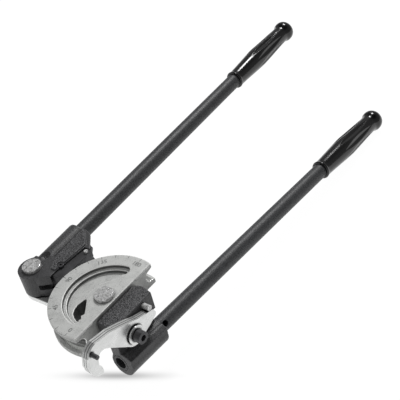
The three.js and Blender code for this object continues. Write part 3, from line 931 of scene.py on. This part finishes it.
@dataclass
class Die(SubAssembly):
    """The half-round bending die, with its degree strokes and plain numbers."""

    grid: float = 0.76
    wave: float = 9.0
    unevenness: float = 0.1
    top: float = -4.9
    radius: float = 71.4
    mark_step: int = 15
    number_step: int = 45
    mark_length: float = 4.6
    mark_width: float = 0.75
    mark_rise: float = 0.06
    mark_edge: float = 0.048
    mark_margin: float = 0.9
    number_size: float = 8.64
    number_bold: float = 0.1
    number_reach: float = 60.6
    flat: float = -15.3
    lip_radius: float = 1.2
    lip_drop: float = 1.9
    lip_span: Span = (40.0, 68.0)

    def build(self) -> None:
        """Builds the casting, its marks and its numbers."""
        die = self.copy_of("bending_die")
        self.lip(die)
        self.cast_skin(die, self.grid, self.wave, self.unevenness)
        self.dress(die, Slot.CAST_ALUMINIUM, Body.FIXED, "bending_die")
        self.marks()
        self.numbers()

    def lip(self, die: Thing) -> None:
        """Runs a half-round lip along the flat's top edge, outside the block that fills its middle.

        Args:
            die: the die's copy, which takes up the lip.
        """
        near, far = self.lip_span
        for side in (-1, 1):
            bead = added(
                bpy.ops.mesh.primitive_cylinder_add,
                vertices=24,
                radius=self.lip_radius * MM,
                depth=(far - near) * MM,
                rotation=(0, math.pi / 2, 0),
            )
            bead.location = Vector((side * (near + far) / 2, self.flat, self.top - self.lip_drop)) * MM
            settle(bead)
            pick(die)
            bead.select_set(True)
            bpy.ops.object.join()

    def marks(self) -> None:
        """Sets a short stroke, slightly raised, on the rim at every step of the bend."""
        strokes = []
        reach = self.radius - self.mark_margin - self.mark_length / 2
        for angle in range(0, 181, self.mark_step):
            stroke = added(bpy.ops.mesh.primitive_cube_add, size=1.0)
            self.put_on_rim(stroke, angle, reach)
            stroke.scale = (self.mark_length * MM, self.mark_width * MM, 2 * self.mark_rise * MM)
            settle(stroke)
            self.soften(stroke, self.mark_edge, 1)
            strokes.append(stroke)
        self.finish_marks(strokes, "degree_strokes")

    def numbers(self) -> None:
        """Sets a plain number of degrees inside every third stroke."""
        words = []
        for angle in range(0, 181, self.number_step):
            word = added(bpy.ops.object.text_add)
            word.data.body = str(angle)
            word.data.align_x = "CENTER"
            word.data.align_y = "CENTER"
            word.data.size = self.number_size * MM
            word.data.extrude = self.mark_rise * MM
            word.data.offset = self.number_bold * MM
            self.put_on_rim(word, angle, self.number_reach, math.pi / 2)
            pick(word)
            bpy.ops.object.convert(target="MESH")
            settle(word)
            words.append(word)
        self.finish_marks(words, "degree_numbers")

    def put_on_rim(self, thing: Thing, angle: int, reach: float, lean: float = 0.0) -> None:
        """Puts a stroke or a number on the die's top face.

        Args:
            thing: the stroke or number, at the origin.
            angle: the bend that it stands for, in degrees.
            reach: its distance to the die's axis.
            lean: how far it turns back from the radius, in radians.
        """
        turn = math.radians(180 - angle)
        thing.location = Vector((reach * math.cos(turn), reach * math.sin(turn), self.top)) * MM
        thing.rotation_euler = (0, 0, turn - lean)

    def finish_marks(self, things: list[Thing], name: str) -> None:
        """Joins strokes or numbers into one piece and dresses it.

        Args:
            things: the objects, each in its place.
            name: the piece's name.
        """
        pick(things[0])
        for thing in things:
            thing.select_set(True)
        bpy.ops.object.join()
        things[0].name = name
        self.dress(things[0], Slot.CAST_ALUMINIUM, Body.FIXED, finish=Extra.STAMPED)


@dataclass
class Castings(SubAssembly):
    """The two black castings: the fixed block with its socket and the forming head."""

    grid: float = 0.62
    wave: float = 7.0
    unevenness: float = 0.08

    def build(self) -> None:
        """Gives both castings their rounded, uneven skins."""
        for node, body in (("lower_casting", Body.FIXED), ("upper_head", Body.FORMING)):
            thing = self.copy_of(node)
            self.cast_skin(thing, self.grid, self.wave, self.unevenness)
            self.dress(thing, Slot.BLACK_CASTING, body, node)


@dataclass
class HookPlates(SubAssembly):
    """The three blanked plates of the hook, bright zinc plated, with rounded edges and corners."""

    edge: float = 1.05
    corner: float = 2.4

    def build(self) -> None:
        """Rounds and dresses each plate."""
        for place in ("back", "middle", "front"):
            node = f"hook_plate_{place}"
            plate = self.copy_of(node)
            self.round_outline(plate)
            self.soften(plate, self.edge, 1)
            self.dress(plate, Slot.ZINC_PLATE, Body.HOOK, node)

    def round_outline(self, plate: Thing) -> None:
        """Rounds the corners of the plate's outline, as the punch left them.

        Args:
            plate: the plate's copy.
        """
        pick(plate)
        bpy.ops.object.mode_set(mode="EDIT")
        bpy.ops.mesh.select_mode(type="EDGE")
        bpy.ops.mesh.select_all(action="DESELECT")
        bpy.ops.object.mode_set(mode="OBJECT")
        points = plate.data.vertices
        # Only the edges through the plate's thickness run along Y.
        for edge in plate.data.edges:
            way = points[edge.vertices[0]].co - points[edge.vertices[1]].co
            edge.select = abs(way.y) > 0.99 * way.length
        bpy.ops.object.mode_set(mode="EDIT")
        bpy.ops.mesh.bevel(offset=self.corner * MM, segments=3, clamp_overlap=True)
        bpy.ops.object.mode_set(mode="OBJECT")


@dataclass
class PinHeads(SubAssembly):
    """The flat-headed pins, staked near the rim so that they can't turn."""

    nick_length: float = 4.6
    nick_depth: float = 1.5
    nicks: tuple[Span, ...] = ((8.5, -1.4), (-7.9, 2.4))
    nick_turn: float = 45.0
    edge: float = 0.3

    def build(self) -> None:
        """Stakes and dresses both pins."""
        for node, body in (("centre_pin", Body.FIXED), ("clevis_pin", Body.LINK)):
            pin = self.copy_of(node)
            low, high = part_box(node)
            middle = (low + high) / 2
            width = self.nick_depth * MM
            for across, along in self.nicks:
                nick = added(bpy.ops.mesh.primitive_cube_add, size=1.0)
                nick.location = (middle.x + across * MM, middle.y + along * MM, high.z)
                nick.rotation_euler = (math.radians(self.nick_turn), 0, 0)
                nick.scale = (self.nick_length * MM, width, width)
                settle(nick)
                cut_out(pin, nick)
            self.soften(pin, self.edge)
            self.dress(pin, Slot.PIN_STEEL, body, node)


@dataclass
class Grips(SubAssembly):
    """Dip-moulded grips: mouth ring, neck, fluted belly, waist and domed end, drawn ring by ring."""

    sides: int = 128
    length: float = 166.0
    mouth: float = 1.66
    cap: float = 6.0
    bore: float = 11.4
    wall: float = 0.5
    crease: float = 55.0
    lower_slope: float = 4.4
    upper_yaw: float = 2.85
    flutes: int = 8
    flute_depth: float = 2.1
    flute_middle: float = 0.55
    flute_half: float = 0.24
    flute_margin: float = 0.02
    flute_width: float = 0.46
    flute_turn: float = 13.7
    flute_rows: int = 4
    outline: tuple[Span, ...] = (
        (0.0, 13.3), (0.003, 13.9), (0.008, 14.2), (0.014, 14.2), (0.019, 13.95), (0.024, 13.6),
        (0.032, 13.4), (0.06, 13.45), (0.1, 13.6), (0.13, 13.8), (0.16, 14.05), (0.19, 14.3),
        (0.22, 14.55), (0.25, 14.8), (0.28, 15.05), (0.31, 15.3), (0.34, 15.55), (0.37, 15.78),
        (0.4, 15.96), (0.425, 16.0), (0.45, 15.94), (0.48, 15.75), (0.51, 15.54), (0.55, 15.28),
        (0.58, 15.06), (0.61, 14.84), (0.64, 14.62), (0.67, 14.4), (0.7, 14.2), (0.73, 14.02),
        (0.76, 13.87), (0.79, 13.75), (0.82, 13.66), (0.845, 13.65), (0.862, 13.9), (0.876, 14.7),
        (0.888, 15.7), (0.9, 16.25), (0.915, 16.45), (0.93, 16.3), (0.945, 15.7), (0.958, 14.7),
        (0.97, 13.2), (0.98, 11.4), (0.988, 9.2), (0.994, 6.6), (0.998, 3.6),
    )

    def build(self) -> None:
        """Draws both grips along their bars."""
        bars = (
            ("lower_grip", Body.FIXED, self.lower_slope, 0.0),
            ("upper_grip", Body.FORMING, 0.0, self.upper_yaw),
        )
        for node, body, slope, yaw in bars:
            grip = self.moulded(f"{node}_moulded")
            grip.matrix_world = self.along(node, slope, yaw)
            settle(grip)
            smooth(grip, self.crease)
            self.dress(grip, Slot.BLACK_VINYL, body, node)

    def along(self, node: str, slope: float, yaw: float) -> Matrix:
        """Finds where a grip's mouth stands and how its bar is turned.

        Args:
            node: the CAD's grip.
            slope: how far the bar slopes down, in degrees.
            yaw: how far the bar turns from X towards Y, in degrees.

        Returns:
            The turn and place that carry the grip from the origin along X.
        """
        mesh = self.nodes[node].data
        points = [Vector(vertex.co) for vertex in mesh.vertices]
        turn = Euler((0, math.radians(slope), math.radians(yaw))).to_matrix()
        axis = turn @ Vector((1, 0, 0))
        tip = max(points, key=lambda point: point.dot(axis))
        start = tip - axis * self.length * MM
        ring = [point for point in points if (point - start).dot(axis) < self.mouth * MM]
        across = [turn.transposed() @ point for point in ring]
        middle = [(min(p[i] for p in across) + max(p[i] for p in across)) / 2 for i in (1, 2)]
        place = turn @ Vector(((turn.transposed() @ start).x, *middle))
        return Matrix.Translation(place) @ turn.to_4x4()

    def moulded(self, name: str) -> Thing:
        """Draws a grip along X from its inner mouth, over the outside, to the dome.

        Args:
            name: the new object's name.

        Returns:
            The grip, closed, with its mouth at the origin.
        """
        grip = added(
            bpy.ops.mesh.primitive_circle_add,
            vertices=self.sides,
            radius=self.bore * MM,
            rotation=(0, math.pi / 2, 0),
        )
        grip.name = name
        settle(grip)
        bpy.ops.object.mode_set(mode="EDIT")
        bpy.ops.mesh.select_all(action="SELECT")
        place, radius = 0.0, self.bore
        for share, wide in self.stations():
            self.pull(share - place)
            scale = wide / radius
            middle = (share * self.length * MM, 0, 0)
            bpy.ops.transform.resize(value=(1, scale, scale), center_override=middle)
            place, radius = share, wide
        self.pull(1 - place)
        bpy.ops.mesh.merge(type="CENTER")
        self.line_inside()
        bpy.ops.object.mode_set(mode="OBJECT")
        self.press_flutes(grip)
        return grip

    def pull(self, share: float) -> None:
        """Extrudes what is selected along X by a share of the grip's length."""
        bpy.ops.mesh.extrude_region_move(TRANSFORM_OT_translate={"value": (share * self.length * MM, 0, 0)})

    def stations(self) -> list[Span]:
        """Adds rows to the outline where the flutes are, so that their rims come out smooth.

        Returns:
            Shares of the length, each with its radius.
        """
        rows = [self.outline[0]]
        for place, wide in self.outline[1:]:
            last_place, last_wide = rows[-1]
            away = abs((place + last_place) / 2 - self.flute_middle)
            near = away < self.flute_half + self.flute_margin
            steps = self.flute_rows if near else 1
            for step in range(1, steps + 1):
                share = step / steps
                at = last_place + (place - last_place) * share
                rows.append((at, last_wide + (wide - last_wide) * share))
        return rows

    def line_inside(self) -> None:
        """Draws the bore of the edited grip from its mouth to the cap and closes it."""
        bpy.ops.mesh.select_all(action="DESELECT")
        bpy.ops.mesh.select_non_manifold()
        self.pull(1 - self.cap / self.length)
        bpy.ops.mesh.edge_face_add()
        bpy.ops.mesh.select_all(action="SELECT")
        bpy.ops.mesh.remove_doubles(threshold=WELD)
        bpy.ops.mesh.normals_make_consistent(inside=False)

    def press_flutes(self, grip: Thing) -> None:
        """Presses lens-shaped flutes into the belly, which run out softly into the crests between.

        Args:
            grip: the closed grip along X.
        """
        for vertex in grip.data.vertices:
            share = vertex.co.x / (self.length * MM)
            away = math.hypot(vertex.co.y, vertex.co.z)
            along = (share - self.flute_middle) / self.flute_half
            if abs(along) >= 1 or away < (self.bore + self.wall) * MM:
                continue
            angle = math.atan2(vertex.co.z, vertex.co.y) - math.radians(self.flute_turn)
            step = 2 * math.pi / self.flutes
            across = (angle / step - round(angle / step)) / self.flute_width
            lens = 1 - along * along
            hollow = max(0.0, 1 - (across / lens) ** 2) ** 2
            depth = self.flute_depth * MM * lens * hollow
            vertex.co.y *= 1 - depth / away
            vertex.co.z *= 1 - depth / away


@dataclass(frozen=True)
class Lamp:
    """A soft square lamp: its way from the object, its distance and side in metres, and its power."""

    name: str
    way: Triple
    away: float
    size: float
    watts: float


@dataclass
class Studio:
    """A plain pale floor, soft lamps and the camera at the photograph's angle."""

    lens: float = 83.2
    sensor: float = 36.0
    camera_place: Triple = (-460.85, -681.92, 753.87)
    camera_turn: Triple = (50.3867, 10.7895, -52.5881)
    camera_shift: Span = (-0.00125, 0.00125)
    dark_side: float = 0.1
    light_side: float = 0.7
    side_span: Span = (-0.2, 0.95)
    gloss_low: float = 0.28
    gloss_high: float = 0.03
    gloss_span: Span = (0.45, 0.9)
    light_way: Triple = (0.45, 0.55, 0.7)
    aim: Triple = (0.12, 0.03, -0.04)
    lamps: tuple[Lamp, ...] = (
        Lamp("key", (0.61, 0.17, 0.77), 4.0, 0.8, 72.0),
        Lamp("fill", (-0.9, -0.5, 0.7), 1.8, 1.6, 3.0),
    )
    floor_place: Span = (0.15, 0.0)
    floor_radius: float = 3.0
    floor_gap: float = 0.0005
    floor_fade: Span = (0.6, 1.6)
    floor_share: float = 0.08
    bounce: str = "909090"
    glow: float = 1.06
    shade_place: Span = (-22.8, 0.6)
    shade_turn: float = -61.4
    shade_size: Span = (54.0, 6.0)
    shade_depth: float = 0.56

    def build(self, low: Vector, high: Vector) -> None:
        """Builds the camera, the lamps, the world and the floor.

        Args:
            low: the object's lowest corner, in metres.
            high: its highest corner; not used.
        """
        self.camera()
        for lamp in self.lamps:
            self.hang(lamp)
        self.world()
        self.floor(low.z)
        bpy.context.scene.view_settings.view_transform = "Standard"

    def camera(self) -> None:
        """Places the camera where the photograph's perspective puts it."""
        data = bpy.data.cameras.new("photo_camera")
        data.lens = self.lens
        data.sensor_width = self.sensor
        data.shift_x, data.shift_y = self.camera_shift
        data.clip_start = 0.05
        data.clip_end = 20.0
        camera = bpy.data.objects.new("photo_camera", data)
        camera.location = Vector(self.camera_place) * MM
        camera.rotation_euler = [math.radians(a) for a in self.camera_turn]
        bpy.context.scene.collection.objects.link(camera)
        bpy.context.scene.camera = camera

    def hang(self, lamp: Lamp) -> None:
        """Hangs a lamp so that it faces the object's middle.

        Args:
            lamp: the lamp's place and power.
        """
        data = bpy.data.lights.new(lamp.name, "AREA")
        data.size = lamp.size
        data.energy = lamp.watts
        thing = bpy.data.objects.new(lamp.name, data)
        way = Vector(lamp.way).normalized()
        thing.location = Vector(self.aim) + way * lamp.away
        thing.rotation_euler = way.to_track_quat("Z", "Y").to_euler()
        bpy.context.scene.collection.objects.link(thing)

    def world(self) -> None:
        """Makes the room white to the camera, and as a light bright behind and dark before the object."""
        world = bpy.data.worlds.new("studio")
        tree = empty_tree(world)
        path = add_node(tree, "LightPath").node.outputs
        seen = add_node(
            tree, "Math", {0: path["Is Camera Ray"], 1: path["Is Transmission Ray"]}, operation="MAXIMUM"
        )
        way = add_node(tree, "TexCoord", out="Generated")
        behind = add_node(
            tree,
            "VectorMath",
            {0: way, 1: Vector(self.light_way).normalized()},
            operation="DOT_PRODUCT",
            out="Value",
        )
        dim = add_node(
            tree,
            "MapRange",
            {
                "Value": behind,
                "From Min": self.side_span[0],
                "From Max": self.side_span[1],
                "To Min": self.dark_side,
                "To Max": self.light_side,
            },
            interpolation_type="SMOOTHSTEP",
        )
        lift = add_node(tree, "SeparateXYZ", {0: way}, out="Z")
        mirrored = add_node(
            tree,
            "MapRange",
            {
                "Value": lift,
                "From Min": self.gloss_span[0],
                "From Max": self.gloss_span[1],
                "To Min": self.gloss_low,
                "To Max": self.gloss_high,
            },
            interpolation_type="SMOOTHSTEP",
        )
        lit = add_node(tree, "Mix", {0: path["Is Glossy Ray"], 2: dim, 3: mirrored})
        strength = add_node(tree, "Mix", {0: seen, 2: lit, 3: 1.0})
        light = add_node(tree, "Background", {"Color": linear("ffffff"), "Strength": strength})
        add_node(tree, "OutputWorld", {"Surface": light})
        bpy.context.scene.world = world

    def floor(self, height: float) -> None:
        """Lays a white floor that keeps a faint shadow, with a painted shadow below the hook, and fades
        into the room.

        Args:
            height: the floor's height in metres.
        """
        floor = added(
            bpy.ops.mesh.primitive_circle_add, vertices=96, radius=self.floor_radius, fill_type="NGON"
        )
        floor.name = "floor"
        floor.location = (*self.floor_place, height - self.floor_gap)
        settle(floor)
        # Rolled paper: even white, with only the softest real shadow, and a painted shadow below the hook
        # and the socket.
        material = bpy.data.materials.new("white_paper_floor")
        tree = empty_tree(material)
        place = add_node(tree, "TexCoord", out="Object")
        away = add_node(tree, "VectorMath", {0: place}, operation="LENGTH", out="Value")
        first, last = self.floor_fade
        near = add_node(
            tree,
            "MapRange",
            {"Value": away, "From Min": first, "From Max": last, "To Min": self.floor_share, "To Max": 0.0},
        )
        paper = add_node(tree, "BsdfDiffuse", {"Color": linear("f6f6f6")})
        glow = add_node(tree, "Emission", {"Color": linear("ffffff"), "Strength": self.shade(tree, place)})
        shown = add_node(tree, "MixShader", {0: near, 1: glow, 2: paper})
        path = add_node(tree, "LightPath").node.outputs
        seen = path["Is Camera Ray"]
        for kind in ("Is Glossy Ray", "Is Transmission Ray"):
            seen = add_node(tree, "Math", {0: seen, 1: path[kind]}, operation="MAXIMUM")
        bounce = add_node(tree, "BsdfDiffuse", {"Color": linear(self.bounce)})
        surface = add_node(tree, "MixShader", {0: seen, 1: bounce, 2: shown})
        add_node(tree, "OutputMaterial", {"Surface": surface})
        floor.data.materials.append(material)
        floor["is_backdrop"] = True

    def shade(self, tree: Tree, place: Socket) -> Socket:
        """Gives the floor's glow: white, but for a painted shadow, a soft oval below the hook and the
        socket.

        Args:
            tree: the material's node tree.
            place: the floor's own coordinates.

        Returns:
            The strength of the floor's glow.
        """
        moved = add_node(
            tree, "VectorMath", {0: place, 1: Vector((*self.shade_place, 0.0)) * MM}, operation="SUBTRACT"
        )
        turned = add_node(
            tree,
            "VectorRotate",
            {"Vector": moved, "Angle": math.radians(-self.shade_turn)},
            rotation_type="Z_AXIS",
        )
        long, wide = self.shade_size
        flat = add_node(
            tree,
            "VectorMath",
            {0: turned, 1: (1 / (long * MM), 1 / (wide * MM), 0.0)},
            operation="MULTIPLY",
        )
        away = add_node(tree, "VectorMath", {0: flat, 1: flat}, operation="DOT_PRODUCT", out="Value")
        below = add_node(tree, "Math", {0: away, 1: -1.0}, operation="MULTIPLY")
        soft = add_node(tree, "Math", {0: below}, operation="EXPONENT")
        return add_node(
            tree, "MapRange", {"Value": soft, "To Min": self.glow, "To Max": self.glow - self.shade_depth}
        )


def dress_hidden(frame: dict[str, Any], materials: Materials) -> None:
    """Gives every CAD node that still shows the finish of its slot.

    Args:
        materials: the finish of each slot.
    """
    slots = {part["node"]: part["material_slot"] for part in frame["record"]["subparts"]}
    for name, node in frame["nodes"].items():
        material = materials[Slot(slots[name])]
        if not node.data.materials:
            node.data.materials.append(material)
        for place in range(len(node.material_slots)):
            node.material_slots[place].link = "OBJECT"
            node.material_slots[place].material = material


def corners(box: tuple[Vector, Vector]) -> list[list[float]]:
    """Turns a box's corners to plain lists of numbers."""
    return [[float(value) for value in corner] for corner in box]


def main() -> None:
    """Loads the frame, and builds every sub-assembly."""
    logging.basicConfig(level=logging.INFO, format="%(message)s")
    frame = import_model()
    cad_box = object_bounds()
    materials = finishes()
    dress_hidden(frame, materials)
    for kind in (Die, Castings, HookPlates, PinHeads, Hardware, Grips):
        kind(frame["nodes"], materials).build()
    Studio().build(*cad_box)


if __name__ == "__main__":
    main()
